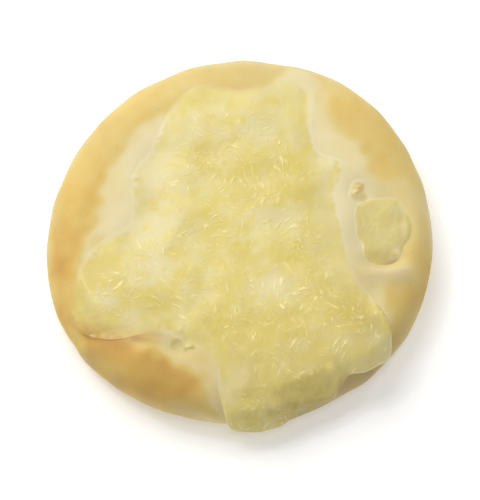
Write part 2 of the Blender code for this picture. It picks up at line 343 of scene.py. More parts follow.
# %% The edge table and the curve through it
CHEESE_EDGE = (
    # bearing, then reach, lip and run in mm
    (5, 33.3, 1.2, 9), (24, 34, 1.2, 9), (31, 38.4, 1.3, 7), (38, 41, 1.3, 6), (48, 38.2, 0.8, 9),
    (56, 42.6, 0.8, 11), (61, 49.6, 0.7, 14), (65, 57.6, 0.7, 16), (70, 63, 0.7, 18),
    (76, 61, 0.7, 18), (82, 53.5, 0.9, 13), (89, 50, 1, 9), (104, 53.2, 1.1, 10),
    (114, 50.6, 1.1, 9), (124, 45.2, 1.2, 8), (136, 40.6, 1.3, 8), (150, 40, 1.3, 8),
    (168, 35.7, 1.1, 9), (177, 37.2, 1.1, 10), (186, 46.8, 1.2, 10), (197, 54.8, 1.2, 9),
    (209, 60, 1.45, 7), (220, 54.6, 1.42, 7), (232, 42.4, 1.35, 8), (248, 41.2, 1.2, 8),
    (256, 42.8, 1.2, 8), (261, 48.2, 1.3, 8), (264, 55, 1.7, 6), (267, 64.5, 2.4, 4),
    (270, 69, 2.6, 4), (275, 70.5, 3.2, 4), (281, 69.6, 2.2, 3), (290, 68.4, 1.1, 3),
    (299, 66.5, 0.8, 3), (305, 57.5, 1.6, 4), (311, 58.2, 2.5, 4), (319, 60.8, 2.8, 4),
    (326, 54.8, 2.4, 5), (334, 44.6, 1.3, 9), (345, 36.6, 1.2, 9),
)
EDGE_WOBBLE = 0.22
WOBBLE_LENGTH = 6.0
WOBBLE_CIRCLE = 46.0
SLANT_SWING = 0.25


def closed_curve(rows, bearing):
    """Values of a table of bearings and values, joined by a smooth closed curve.

    Between two rows it is the cubic whose slope at each row is the slope between
    that row's neighbours.
    """
    table = np.array(rows, dtype=float)
    count = len(table)
    knots = table[:, 0]
    bearing = np.asarray(bearing, dtype=float) % 360.0
    after = np.searchsorted(knots, bearing, side="right") % count
    before = (after - 1) % count
    span = (knots[after] - knots[before]) % 360.0
    share = (((bearing - knots[before]) % 360.0) / span)[..., None]
    slopes = np.roll(table[:, 1:], -1, axis=0) - np.roll(table[:, 1:], 1, axis=0)
    slopes = slopes / ((np.roll(knots, -1) - np.roll(knots, 1)) % 360.0)[:, None]
    start = table[before, 1:]
    end = table[after, 1:]
    leaving = slopes[before] * span[..., None] * share * (1.0 - share) ** 2
    arriving = slopes[after] * span[..., None] * share**2 * (1.0 - share)
    return start + (end - start) * ease(share) + leaving - arriving


def edge_values(bearing):
    """Reach, lip and run of the sheet in metres, with a slight wobble in the reach."""
    reach, lip, run = np.moveaxis(closed_curve(CHEESE_EDGE, bearing), -1, 0)
    x = WOBBLE_CIRCLE * np.cos(np.radians(bearing))
    y = WOBBLE_CIRCLE * np.sin(np.radians(bearing))
    wobble = EDGE_WOBBLE * ripple(x, y, WOBBLE_LENGTH, seed=5)
    return (reach + wobble) * MM, lip * MM, run * MM


def edge_slant(bearing):
    """How much longer a radial step to the edge is than the square one."""
    reach = edge_values(bearing)[0]
    change = edge_values(bearing + SLANT_SWING)[0] - edge_values(bearing - SLANT_SWING)[0]
    return np.sqrt(1.0 + (change / (math.radians(2.0 * SLANT_SWING) * reach)) ** 2)


print("edge rows:", len(CHEESE_EDGE))

# %% [markdown]
# A thickness that depended only on how far the edge is at the same bearing would show
# spokes. So the distance to the whole edge is used, on the crust laid out flat. Adding up
# one over the fourth power of the distance to every stretch of a straight edge gives pi/2
# over the third power of the distance to it. Turned round, that sum is a distance that
# stays smooth everywhere, even half way between two edges. The same weights blend the lip
# and the run of the nearest stretches.

# %% Distance to the edge
EDGE_BEARINGS = 3601
EDGE_SAMPLES = 600
NEAREST = 0.5 * MM
CHUNKS = 60


def unrolled(bearing, along):
    """Plan places of the crust laid out flat about its middle."""
    angle = np.radians(bearing)
    return along * np.cos(angle), along * np.sin(angle)


def even_edge():
    """Edge points at even spacing, with their lip and run, and the spacing."""
    bearing = np.linspace(0.0, 360.0, EDGE_BEARINGS)
    x, y = unrolled(bearing, edge_values(bearing)[0])
    walked = np.append(0.0, np.cumsum(np.hypot(np.diff(x), np.diff(y))))
    stops = np.arange(EDGE_SAMPLES) * walked[-1] / EDGE_SAMPLES
    chosen = np.interp(stops, walked, bearing)
    reach, lip, run = edge_values(chosen)
    x, y = unrolled(chosen, reach)
    return x, y, lip, run, walked[-1] / EDGE_SAMPLES


EDGE_POINTS = even_edge()


def edge_field(bearing, along):
    """Smooth distance to the edge, and the lip and run of the edge nearby, in metres."""
    edge_x, edge_y, edge_lip, edge_run, spacing = EDGE_POINTS
    bearing, along = np.broadcast_arrays(bearing, along)
    x, y = unrolled(bearing.ravel(), along.ravel())
    results = []
    for part in np.array_split(np.arange(x.size), CHUNKS):
        square = (x[part, None] - edge_x) ** 2 + (y[part, None] - edge_y) ** 2
        weight = 1.0 / np.maximum(square, NEAREST**2) ** 2
        total = weight.sum(axis=1)
        distance = (total * spacing * 2.0 / math.pi) ** (-1.0 / 3.0)
        results.append(np.stack([distance, weight @ edge_lip / total, weight @ edge_run / total]))
    field = np.concatenate(results, axis=1)
    return [part.reshape(along.shape) for part in field]


def beyond_edge(bearing, along):
    """Signed distance outwards from the edge of the sheet, along the crust."""
    distance = edge_field(bearing, along)[0]
    return np.where(along > edge_values(bearing)[0], distance, -distance)


print("edge length, mm:", round(EDGE_POINTS[4] * EDGE_SAMPLES / MM))

# %% [markdown]
# ## Putting points into a mesh
#
# Every piece is a grid or a stack of rings. Whole arrays of points become one closed mesh
# with its faces pointing out. A number is stored on each vertex for every mark, such as
# how far the crust is baked there, and the materials read these marks as masks.


# %% Mesh helpers
def grid_quads(index):
    """Quads of a grid of vertex numbers whose rows run out and columns anticlockwise."""
    here = index[:-1, :-1]
    quads = np.stack([here, index[1:, :-1], index[1:, 1:], index[:-1, 1:]], axis=-1)
    return quads.reshape(-1, 4)


def ring_quads(index):
    """The same for rings, one to a row, whose last vertex meets their first."""
    return grid_quads(np.hstack([index, index[:, :1]]))


def fan(pole, loop):
    """Triangles from a pole to each step of a loop, which runs anticlockwise round it."""
    return np.stack([np.full(len(loop), pole), loop, np.roll(loop, -1)], axis=1)


def make_piece(name, points, face_parts, marks):
    """A named, smooth shaded object at the origin, with a number per vertex per mark.

    Vertices that come after those of the mark's own array get 0.
    """
    mesh = bpy.data.meshes.new(name)
    faces = [face for part in face_parts for face in part.tolist()]
    mesh.from_pydata(points.tolist(), [], faces)
    for mark, values in marks.items():
        numbers = np.zeros(len(points), np.float32)
        numbers[: values.size] = values.ravel()
        mesh.attributes.new(mark, "FLOAT", "POINT").data.foreach_set("value", numbers)
    mesh.shade_smooth()
    piece = bpy.data.objects.new(name, mesh)
    bpy.context.collection.objects.link(piece)
    triangles = sum(len(face) - 2 for face in faces)
    print(f"{name}: {len(points)} points, {triangles} triangles")
    return piece


print("helpers ready")

# %% [markdown]
# ## The bread
#
# The walk is sampled finely where the crust shows and coarsely under the cheese. The
# slightly uneven skin of hand-made dough comes from long ripples a fraction of a
# millimetre high. In front of the pool a fold of dough stands up steeply, with a dark
# crevice behind it, and below the left lobe the crust is pressed in a little.

# %% Bread mesh
BREAD_BEARINGS = 700
HIDDEN_RINGS = 10
SHOWN_RINGS = 112
FOOT_RINGS = 11
HIDDEN_REACH = 27.0 * MM
SKIN_RIPPLES = (
    # wavelength and height in mm, seed
    (18.0, 0.12, 11),
    (7.0, 0.020, 12),
    (2.6, 0.006, 13),
)
SKIN_SETTLES = 3.0 * MM
FOOT_HOLLOW = 0.25 * MM
FOOT_WAVELENGTH = 9.0
# x, y, height, half width in x and in y, all in mm
CREVICE = (44.6, -8.0, -1.9, 6.0, 2.8)
DOUGH_FOLD = (46.5, -12.4, 0.35, 7.0, 2.2)
LOBE_CREASE = (-44.0, -33.5, -0.5, 11.0, 2.2)


def skin_point(bearing, along):
    """A point of the finished skin, with its fine relief, and the crust's normal there."""
    point = crust_point(bearing, along)
    normal = crust_normal(bearing, along)
    x = point[..., 0]
    y = point[..., 1]
    relief = lumps((CREVICE, DOUGH_FOLD, LOBE_CREASE), x, y)
    relief = relief + ripples(SKIN_RIPPLES, x / MM, y / MM) * MM
    relief = relief * ease(point[..., 2] / SKIN_SETTLES)
    return point + normal * relief[..., None], normal


def bread_walk(crest):
    """Distances walked for each ring, from the first one to the rim of the foot."""
    end = crest + RIM_ARC + UNDER_ARC
    hidden = np.arange(1, HIDDEN_RINGS + 1)[:, None] / HIDDEN_RINGS * HIDDEN_REACH
    shown = np.arange(1, SHOWN_RINGS + 1)[:, None] / SHOWN_RINGS
    return np.vstack([hidden + 0.0 * crest, HIDDEN_REACH + (end - HIDDEN_REACH) * shown])


def add_bread():
    """Rings down the crust and in under the foot, closed by a fan at each end."""
    bearing = np.arange(BREAD_BEARINGS) * 360.0 / BREAD_BEARINGS
    along = bread_walk(outline_radius(bearing) - RIM_WIDTH)
    skin = skin_point(np.broadcast_to(bearing, along.shape), along)[0]
    skin[-1, :, 2] = 0.0
    shares = (1.0 - np.arange(1, FOOT_RINGS + 1) / (FOOT_RINGS + 1))[:, None, None]
    foot = skin[-1] * shares
    uneven = ripple(foot[..., 0] / MM, foot[..., 1] / MM, FOOT_WAVELENGTH, seed=14)
    hollow = np.maximum(FOOT_HOLLOW * (1.0 + uneven), 0.0)
    foot[..., 2] = hollow * np.sqrt(1.0 - shares[..., 0] ** 2)
    rings = np.concatenate([skin, foot])
    poles = np.array([crust_point(0.0, 0.0), [0.0, 0.0, foot[-1, :, 2].mean()]])
    points = np.vstack([rings.reshape(-1, 3), poles])
    index = np.arange(len(points) - 2).reshape(-1, BREAD_BEARINGS)
    crown = fan(len(points) - 2, index[0])
    base = fan(len(points) - 1, index[-1, ::-1])
    walked = np.concatenate([along, np.broadcast_to(along[-1], foot.shape[:2])])
    marks = bread_marks(np.broadcast_to(bearing, walked.shape), walked, rings)
    return make_piece("manakish_bread", points, [ring_quads(index), crown, base], marks)


print("rings:", HIDDEN_RINGS + SHOWN_RINGS + FOOT_RINGS)

# %% [markdown]
# The browning follows three things. It is strongest on the shoulder of the rim, where the
# crust is nearest the hot roof of the oven. It comes and goes round the rim. And it leaves
# a pale band of dough beside the cheese, which shades and wets the crust next to it. Shade
# is painted in as well: low on the flank, in folds and hollows, under the lobes and at the
# silhouette the brown turns greyish and darker, and some spots are browned more to stand
# for shade. Soft spots, listed one by one, add what no rule gives.

# %% Where the crust is browned
# on the flank at the lower right the browning is set higher as painted shade
BROWNING = (
    # bearing, where beyond the edge of the cheese it starts and over what width it
    # comes up, both in mm, browning on the shoulder of the rim, browning on its flank
    (8, 2, 12, 0.42, 0.22), (30, 2, 9.5, 0.7, 0.7), (50, -0.5, 8.5, 0.68, 0.6),
    (62, -4, 8, 0.6, 0.46), (80, -6, 4, 0.56, 0.52), (100, -8, 5, 0.56, 0.52),
    (115, -6, 5, 0.62, 0.46), (130, 0.5, 6, 0.68, 0.4), (140, 2, 7, 0.72, 0.38),
    (150, 2, 7, 0.76, 0.4), (165, 3, 8, 0.84, 0.46), (180, 0.5, 6, 0.92, 0.56),
    (188, -3, 6, 0.98, 0.7), (198, -6, 5, 0.86, 0.76), (209, -7, 5, 0.95, 0.92),
    (222, -6, 5, 1.02, 0.8), (230, 0, 5, 1.04, 0.8), (236, 2, 5.5, 1.05, 0.76),
    (245, 2.5, 6, 1.06, 0.66), (254, 1, 5.5, 1, 0.5), (261, -0.5, 5, 0.85, 0.42),
    (270, -1, 5, 0.55, 0.55), (288, -8, 6, 0.7, 0.8), (308, -8, 5, 0.76, 0.82),
    (325, -2, 4, 0.72, 0.58), (335, -2, 8, 0.74, 0.62), (343, -2, 12, 0.78, 1.05),
    (351, -1, 12, 0.76, 1.1), (359, 0, 12, 0.52, 0.4),
)
DULL_AND_SHADE_PATCHES = (
    # x, y, half width in x and in y, in mm, and how strong it is: painted shade, a darker greyish
    # brown
    (38, -13, 10, 8, 0.48), (39, -43, 6, 4, 0.95), (-41, -49, 5.5, 4, 0.9), (-49, -41, 5.5, 4, 0.8),
    (-33, -55, 7, 4, 0.95), (-24, -59, 8, 3.5, 0.9), (35, -2, 5, 8, 0.15), (-14, -43, 12, 7, 0.18),
    (-17.8, -37.8, 4, 3, 0.45), (-18, -56, 9, 4, 0.45), (-5, -54, 5, 6, 0.4), (2, 58, 28, 8, 0.3),
    (-30.5, -35.6, 6, 1.8, 0.6), (-26.5, -33.6, 4, 2, 0.5), (-58, 8, 4, 20, 0.2),
    (-46, 39, 8, 10, 0.25), (-25, 56, 14, 6, 0.25),
)
BAKE_AND_SHADE_TINTS = (
    # x, y, half width in x and in y, in mm, then either the least browning there or,
    # if it is below 0, the browning that is missing there; the floors in the crease under
    # the left lobe, under the right lobe and low at the front are painted shade
    (49, -13, 7.5, 4.5, -0.5), (43, 15.5, 8, 3.5, -0.2), (-9.5, -54, 5, 4, -0.3),
    (-15, -41, 17, 9, 0.5), (-29.5, -35.5, 6, 6, 0.82), (-41.5, -36, 5, 3, 0.85),
    (-41, 17, 5, 8, 0.35), (-8, -52, 6, 8, 0.36), (41, -20, 9, 8, 0.36), (37, -14, 8, 8, 0.36),
    (-13, -47.5, 6, 6, 0.62), (-44.7, -3.6, 5, 5, 0.45), (-48, 3, 5, 5, 0.5),
    (-17.5, -37.6, 4, 3.5, 0.4), (-31, -35.4, 6, 2.2, 1.15), (33, 30, 5, 6, 0.3),
    (39, -43, 4.5, 3.5, 1.25), (-50.5, -34, 4.5, 4, 0.95),
)
# zones past the crest of the rim, and up from the table: start and width in mm
SHOULDER_ZONE = (-12.0, 11.0)
FLANK_ZONE = (8.0, 9.0)
# where the painted shade of the lower right flank starts, past the crest
PAINTED_SHADE_ZONE = (5.0, 9.0)
FOOT_ZONE = (0.6, 2.5)
LEAST_SHOULDER = 0.25
SHOULDER_WANDER = 0.8
FRINGE = 0.25
STEEPEST_RAMP = 0.8
BAND_LOST_ON_FLANK = 0.6
# a bearing and a half width in degrees: the side of the flank where shade is painted on, and
# stretches of toasted edge
PAINTED_SHADE_SIDE = (306.0, 30.0)
TOASTED_EDGES = ((216, 5), (229, 4))
# how far out from the edge the toasted line lies, and its half width, in mm
TOASTED_LINE = (0.3, 0.8)
TOASTED_MORE = 0.24
# wavelength in mm, height, seed
LONG_UNEVEN = (16.0, 0.05, 21)
SHORT_UNEVEN = (6.0, 0.03, 22)


def rise(value, zone):
    """Rise smoothly from 0 to 1 over a zone, given by its start and its width."""
    return ease((value - zone[0]) / zone[1])


def bread_marks(bearing, along, points):
    """Two masks of the crust: how far it is baked, with some painted shade, and its dullness and
    painted shade.

    The bake is the product of the rise onto the shoulder, the fading of the pale band
    and the browning at that bearing. Spots, some of which are painted shade, and two thin
    lines of toasted edge change it.
    The second mask, of dullness and painted shade, is the greatest of the painted shade
    on the lower right flank, the greying towards the table and the spots of painted shade.
    """
    width, ramp, depth, flank = np.moveaxis(closed_curve(BROWNING, bearing), -1, 0)
    past_crest = (along - outline_radius(bearing) + RIM_WIDTH) / MM
    x, y, z = np.moveaxis(points / MM, -1, 0)
    flat_x, flat_y = unrolled(bearing, along / MM)
    long = ripple(flat_x, flat_y, LONG_UNEVEN[0], LONG_UNEVEN[2])
    short = ripple(flat_x, flat_y, SHORT_UNEVEN[0], SHORT_UNEVEN[2])
    onto = rise(past_crest + SHOULDER_WANDER * long, SHOULDER_ZONE)
    shoulder = LEAST_SHOULDER + (1.0 - LEAST_SHOULDER) * onto
    lower = rise(past_crest - long, FLANK_ZONE)
    out = beyond_edge(bearing, along) / MM
    beside = ease((out - width + FRINGE * short) / np.maximum(ramp, STEEPEST_RAMP))
    beside = 1.0 - (1.0 - beside) * (1.0 - BAND_LOST_ON_FLANK * lower)
    bake_and_shade = shoulder * beside * (depth + (flank - depth) * lower)
    # floors of browning; some of them are painted shade
    for *oval, amount in BAKE_AND_SHADE_TINTS:
        added = amount * bell(spot(x, y, *oval))
        bake_and_shade = np.maximum(bake_and_shade, added) if amount > 0.0 else np.maximum(bake_and_shade + added, 0.0)
    line = TOASTED_MORE * bell((out - TOASTED_LINE[0]) / TOASTED_LINE[1])
    for centre, half_width in TOASTED_EDGES:
        bake_and_shade = bake_and_shade + line * bell(turn(bearing, centre) / half_width)
    bake_and_shade = bake_and_shade * (1.0 + LONG_UNEVEN[1] * long + SHORT_UNEVEN[1] * short)
    # painted shade on the lower right flank, which faces away from the light
    dull_and_painted_shade = rise(past_crest, PAINTED_SHADE_ZONE) * bell(turn(bearing, PAINTED_SHADE_SIDE[0]) / PAINTED_SHADE_SIDE[1])
    dull_and_painted_shade = np.maximum(dull_and_painted_shade, 1.0 - rise(z, FOOT_ZONE))
    # spots of painted shade: a darker greyish brown
    for *oval, amount in DULL_AND_SHADE_PATCHES:
        dull_and_painted_shade = np.maximum(dull_and_painted_shade, amount * bell(spot(x, y, *oval)))
    return {"bake_and_shade": bake_and_shade, "dull_and_painted_shade": dull_and_painted_shade}


bread = add_bread()

# %% [markdown]
# ## Grated cheese that has half melted
#
# Close up, the cheese is still a heap of shreds, slumped together. The relief is made the
# same way: many short curved strands are laid on a fine map of heights, each with a round
# back, and where they cross the higher one wins. There are two such maps. Thick strands are
# blurred until they have nearly run together, and they swell the sheet everywhere. Thin
# wisps are blurred very little, and they only count where shreds survive.

# %% Laying the strands
MAP_HALF = 80.0
MAP_MARGIN = 4.0
MAP_CELL = 0.2
MAP_SIZE = int(2 * MAP_HALF / MAP_CELL)
LAST_CELL = MAP_SIZE - 1.001
STRAND_STEPS = 36
LENGTH_SPREAD = (0.45, 1.35)
WIDTH_SPREAD = (0.75, 1.25)
END_TAPER = 0.8
# in mm: the first blur melts the strands, the second one is taken away from it
MOLTEN_BLURS = (1.0, 5.0)
CRISP_BLURS = (0.22, 1.8)


def strand_paths(draw, count, length, bend):
    """Points along each strand: a start, a heading, and a steady bend."""
    start = draw.uniform(-MAP_HALF + MAP_MARGIN, MAP_HALF - MAP_MARGIN, (count, 2))
    lengths = draw.uniform(*LENGTH_SPREAD, count) * length
    heading = draw.uniform(0.0, 2.0 * math.pi, count)
    bends = draw.normal(0.0, bend, count)
    walk = np.linspace(0.0, 1.0, STRAND_STEPS)
    angle = heading[:, None] + bends[:, None] * lengths[:, None] * walk
    step = (lengths / (STRAND_STEPS - 1))[:, None]
    path_x = start[:, :1] + np.cumsum(np.cos(angle) * step, axis=1)
    path_y = start[:, 1:] + np.cumsum(np.sin(angle) * step, axis=1)
    return path_x, path_y, walk


def lay_strands(seed, count, length, half_width, bend, lift):
    """Height map of a heap of strands, in mm.

    A strand's cross section is half a circle of its own half width, thinned towards
    its ends. Each one lies at its own height in the heap.
    """
    draw = np.random.default_rng(seed)
    path_x, path_y, walk = strand_paths(draw, count, length, bend)
    width = draw.uniform(*WIDTH_SPREAD, count)[:, None] * half_width
    width = width * np.sqrt(1.0 - (2.0 * walk - 1.0) ** 4 * END_TAPER)
    level = np.broadcast_to(draw.uniform(0.0, lift, count)[:, None], width.shape)
    reach = int(half_width * WIDTH_SPREAD[1] / MAP_CELL) + 1
    offset = np.arange(-reach, reach + 1)
    over_x, over_y = [part.ravel() for part in np.meshgrid(offset, offset)]
    flat_x = path_x.ravel()[:, None]
    flat_y = path_y.ravel()[:, None]
    cell_x = np.round((flat_x + MAP_HALF) / MAP_CELL).astype(int) + over_x
    cell_y = np.round((flat_y + MAP_HALF) / MAP_CELL).astype(int) + over_y
    gap_x = cell_x * MAP_CELL - MAP_HALF - flat_x
    gap_y = cell_y * MAP_CELL - MAP_HALF - flat_y
    fullness = 1.0 - (gap_x**2 + gap_y**2) / width.ravel()[:, None] ** 2
    height = level.ravel()[:, None] + width.ravel()[:, None] * np.sqrt(np.maximum(fullness, 0.0))
    inside = (fullness > 0.0) & (cell_x >= 0) & (cell_x < MAP_SIZE)
    inside &= (cell_y >= 0) & (cell_y < MAP_SIZE)
    heap = np.zeros((MAP_SIZE, MAP_SIZE))
    np.maximum.at(heap, (cell_y[inside], cell_x[inside]), height[inside])
    return heap


def blur(heap, spread):
    """The map smoothed by a bell curve of that spread in mm, through its spectrum."""
    pitch = np.fft.fftfreq(MAP_SIZE, MAP_CELL)
    damping = np.exp(-2.0 * (math.pi * spread) ** 2 * (pitch[:, None] ** 2 + pitch**2))
    return np.real(np.fft.ifft2(np.fft.fft2(heap) * damping))


def read_map(heap, x, y):
    """Height of the map at points in mm, blended between the four nearest cells."""
    column = np.clip((x + MAP_HALF) / MAP_CELL, 0, LAST_CELL)
    row = np.clip((y + MAP_HALF) / MAP_CELL, 0, LAST_CELL)
    left = column.astype(int)
    low = row.astype(int)
    right_share = column - left
    high_share = row - low
    lower = heap[low, left] * (1 - right_share) + heap[low, left + 1] * right_share
    upper = heap[low + 1, left] * (1 - right_share) + heap[low + 1, left + 1] * right_share
    return lower * (1 - high_share) + upper * high_share


heap = lay_strands(seed=31, count=1500, length=9.0, half_width=1.05, bend=0.10, lift=1.1)
wisps = lay_strands(seed=32, count=2200, length=4.0, half_width=0.48, bend=0.25, lift=0.3)
molten_relief = blur(heap, MOLTEN_BLURS[0]) - blur(heap, MOLTEN_BLURS[1])
crisp_relief = blur(wisps, CRISP_BLURS[0]) - blur(wisps, CRISP_BLURS[1])
print("relief, mm:", round(float(crisp_relief.std()), 3), round(float(molten_relief.std()), 3))

# %% [markdown]
# The cheese isn't one yellow. Curds stay pale, well-melted parts are rich, some have
# soaked up oil and gone smooth, and a few edges are toasted. Light and shade are painted
# into the tones too: a dark tone is painted shade where the cheese lies in shade, the rich
# yellow is laid on thicker at the lower right as painted shade, and some pale patches are
# painted light on slopes that face away from the light. Shreds survive more in some parts
# than in others. Each tone is a set of soft ovals with ragged borders, listed one by one on
# the crust laid out flat.

# %% Tones of the cheese
CHEESE_TONES = {
    # for each tone: x, y, half width in x and in y, in mm, and how strong it is
    # pale curds; some of these patches are painted light, on slopes that face away from the light
    "pale_and_painted_light": (
        (-25, 3.8, 8, 4.5, 0.9), (-26.5, -11.5, 5.5, 6, 1), (-41.5, -23.2, 5, 3.2, 0.85),
        (-34, -27.5, 4.5, 3.5, 0.7), (10.6, 5.5, 8, 3.2, 0.9), (10, -18, 7, 4.5, 0.8),
        (-20, 16.5, 4.5, 4.5, 0.6), (13, 48, 5, 5, 0.5), (17, -37.5, 4, 3, 0.5),
        (-9, -43, 4, 3, 0.5), (26.5, 23, 4.5, 4.5, 0.7), (-15.5, 36, 7, 5, 0.6),
        (6.5, 36.5, 7, 6, 0.7), (-28, 20, 5, 9, 1), (-21, 32, 6, 5, 0.6), (-32.5, 3, 4, 7, 0.9),
        (37, -44.5, 6, 4, 0.7), (18, 47, 3.5, 7, 0.5), (-3.5, -52, 3, 5, 0.45), (24, -5, 5, 4, 0.4),
        (43, -36, 7, 6, 0.6), (30, -36, 6, 4, 0.4), (27, 6, 4, 8, 0.5), (-6.6, 34, 4, 4, 0.7),
        (18, 34, 4, 4, 0.5), (-14.7, -19.5, 4, 4, 0.6), (36.9, 14, 4, 4, 0.8), (47, -42, 8, 7, 1),
    ),
    # deeper yellow where the cheese has melted well, laid on thicker at the lower right as painted
    # shade
    "rich_and_painted_shade": (
        (19, -34, 20, 14, 0.75), (23, -21.5, 9, 7, 1), (1, -30, 7, 6, 0.8), (-43, -12, 9, 7, 0.8),
        (-12.5, 28, 5, 5, 0.9), (10, 22, 5, 3, 0.4), (14, 15, 7, 4, 0.4), (0, -36, 5, 5, 1),
        (-12, -36, 5, 4, 0.7), (-45.5, -17.5, 9, 5.5, 1), (18, -27.5, 5, 4, 1),
        (18, -47, 8, 5, 0.85), (37, -27, 8, 6, 1), (-28, 9.5, 4, 6, 0.6), (5, 12.2, 5, 3.5, 0.7),
        (30, -26, 14, 9, 0.9), (2.5, -49, 4, 7, 0.6),
    ),
    "soaked": (
        (41, 0, 11, 13, 1), (-19.6, -36.6, 5, 5, 1), (18, -50, 22, 9, 0.5), (0, -47, 6, 7, 1),
        (32.5, -12, 5, 9, 0.8), (18, 54, 7, 6, 0.55),
    ),
    # painted shade: the pocket and right wall of the pool, the drop, the front of the drip and a
    # few spots of the sheet
    "painted_shade": (
        (48, -8.6, 6, 3.3, 0.95), (51, -3.5, 4.5, 6, 0.65), (49.7, 6, 4, 4, 0.4),
        (-19.6, -36.8, 3, 3, 0.35), (29, -62, 17, 8, 1), (6, -66.5, 9, 4.5, 0.4),
        (37.5, -29, 6, 6, 0.22), (3, -47, 4, 5, 0.18),
    ),
    "toasted": (
        (36.6, 17.4, 3.2, 2.2, 0.7), (-48, -31, 8, 3.2, 0.8), (-33, -33.5, 8, 2.2, 0.6),
    ),
    "shredded": (
        (-8, 31, 18, 16, 1), (9, 8, 12, 6, 0.8), (-11, -12, 8, 10, 0.9), (22.5, 3, 6, 15, 0.7),
        (19, -36, 6, 5, 0.6), (-33, -31.5, 7, 3, 0.9), (-1, -54, 5, 6, 0.8), (52.5, 3.5, 3.5, 6, 2),
    ),
}
RAGGEDNESS = {
    # how ragged the borders of each tone are
    "pale_and_painted_light": 1.0, "rich_and_painted_shade": 1.0, "soaked": 0.4, "painted_shade": 0.2, "toasted": 0.6, "shredded": 0.5,
}
# wavelength in mm, height, seed
RAGGED_RIPPLES = ((5.0, 0.30, 41), (2.2, 0.18, 42))
SURVIVAL_RIPPLES = ((14.0, 0.45, 43), (6.0, 0.30, 44))
USUAL_SURVIVAL = 0.4
LEAST_RAGGED = 0.6


def cheese_tones(x, y):
    """How strong each tone of the cheese is at places in mm, in soft ragged patches."""
    waves = ripples(RAGGED_RIPPLES, x, y)
    tones = {}
    for tone, patches in CHEESE_TONES.items():
        ragged = np.maximum(1.0 + waves * RAGGEDNESS[tone], LEAST_RAGGED)
        tones[tone] = np.zeros(np.broadcast(x, y).shape)
        for *oval, amount in patches:
            patch = amount * bell(spot(x, y, *oval) * ragged)
            tones[tone] = np.maximum(tones[tone], patch)
    return tones


def surviving_shreds(x, y):
    """How little the shreds have melted, from 0 to 1, at places in mm."""
    return ease(USUAL_SURVIVAL + ripples(SURVIVAL_RIPPLES, x, y))


print("patches:", {tone: len(patches) for tone, patches in CHEESE_TONES.items()})

# %% [markdown]
# ## The melted sheet
#
# The sheet is walked over the same crust as the bread. A square grid is bent into a disc,
# which spreads its cells evenly, and the disc is stretched out to the edge curve. Its last
# few rows roll round the lip: a thick lip turns in under itself and throws a shadow, a
# thin one only slopes down to the dough. The underside dips just into the crust.

# %% Thickness of the sheet
CHEESE_MIDDLE = 2.0 * MM
CHEESE_OVER_RIM = 1.7 * MM
CHEESE_FOLD_REACH = 55.0 * MM
FOLD_RUN = 5.0 * MM
FLANK_CHEESE = 0.5 * MM
LOWEST_SAG = -0.05
THICK_LIP = 2.1 * MM
THIN_LIP = 1.3 * MM
THIN_RUN = 2.0
EDGE_BLUR = 0.42 * MM
MOLTEN_SHARE = 0.035
CRISP_SHARE = 0.07
FULL_RELIEF = 2.2 * MM
CHEESE_MOUNDS = (
    # x, y, height, half width in x and in y, all in mm
    (-26, 20, 0.2, 9, 8), (-4, 32, 0.2, 14, 9), (12, 8, 0.2, 12, 8), (-38, -14, 0.3, 9, 9),
    (14, -22, 0.3, 13, 9), (34, -30, 0.3, 9, 9), (-8, -8, -0.2, 12, 10),
)


def lip_tuck(lip):
    """From 0 for a lip thin enough to merge with the dough to 1 for an overhanging one."""
    return ease((lip - THIN_LIP) / (THICK_LIP - THIN_LIP))


def sheet_thickness(bearing, along):
    """Thickness of the sheet, with the relief of the shreds.

    It swells from the lip at the edge to its full value. A thin lip has melted away
    to nothing, so there the sheet starts flush with the dough.
    """
    away, lip, run = edge_field(bearing, along)
    away = np.sqrt(np.maximum(away**2 - EDGE_BLUR**2, 0.0))
    tuck = lip_tuck(lip)
    lip = lip * tuck
    swelling = ease(away / (run * (THIN_RUN + (1.0 - THIN_RUN) * tuck)))
    on_top = ease((CHEESE_FOLD_REACH - along) / FOLD_RUN)
    crest = outline_radius(bearing) - RIM_WIDTH
    climb = ease((along - crest + BED_START) / BED_SLOPE + 1.0)
    flat_x, flat_y = unrolled(bearing, along)
    mounds = lumps(CHEESE_MOUNDS, flat_x, flat_y)
    full = CHEESE_MIDDLE + (CHEESE_OVER_RIM - CHEESE_MIDDLE) * climb + mounds
    flank = np.maximum(lip, FLANK_CHEESE)
    body = lip + (flank + (full - flank) * on_top - lip) * swelling
    x = flat_x / MM
    y = flat_y / MM
    relief = MOLTEN_SHARE * read_map(molten_relief, x, y)
    relief = relief + CRISP_SHARE * read_map(crisp_relief, x, y) * surviving_shreds(x, y)
    return body + relief * ease(body / FULL_RELIEF) * MM


def sheet_direction(normal):
    """Way the cheese stands off the crust: never far below level on the flank."""
    direction = normal.copy()
    direction[..., 2] = np.maximum(direction[..., 2], LOWEST_SAG)
    return direction / np.linalg.norm(direction, axis=-1, keepdims=True)


print("thickness in the middle, mm:", round(float(sheet_thickness(0.0, 0.0)) / MM, 2))


# %% A disc made of a square grid
def disc_grid(size):
    """Bearing in degrees and share of the radius for a square grid bent into a disc.

    Squares of the grid become circles: the share is the larger of the two
    coordinates, and the bearing runs evenly along each side of the square.
    """
    line = np.linspace(-1.0, 1.0, size)
    across, along = np.meshgrid(line, line, indexing="ij")
    upright = np.abs(along) > np.abs(across)
    lead = np.where(upright, along, across)
    other = np.where(upright, across, along)
    slant = other / np.where(lead == 0.0, 1.0, lead)
    bearing = np.where(upright, 90.0 - 45.0 * slant, 45.0 * slant) + 180.0 * (lead < 0.0)
    return bearing, np.abs(lead)


def rim_loop(index):
    """The numbers round a square grid of vertex numbers, anticlockwise from a corner."""
    return np.concatenate([index[:-1, 0], index[-1, :-1], index[:0:-1, -1], index[0, :0:-1]])


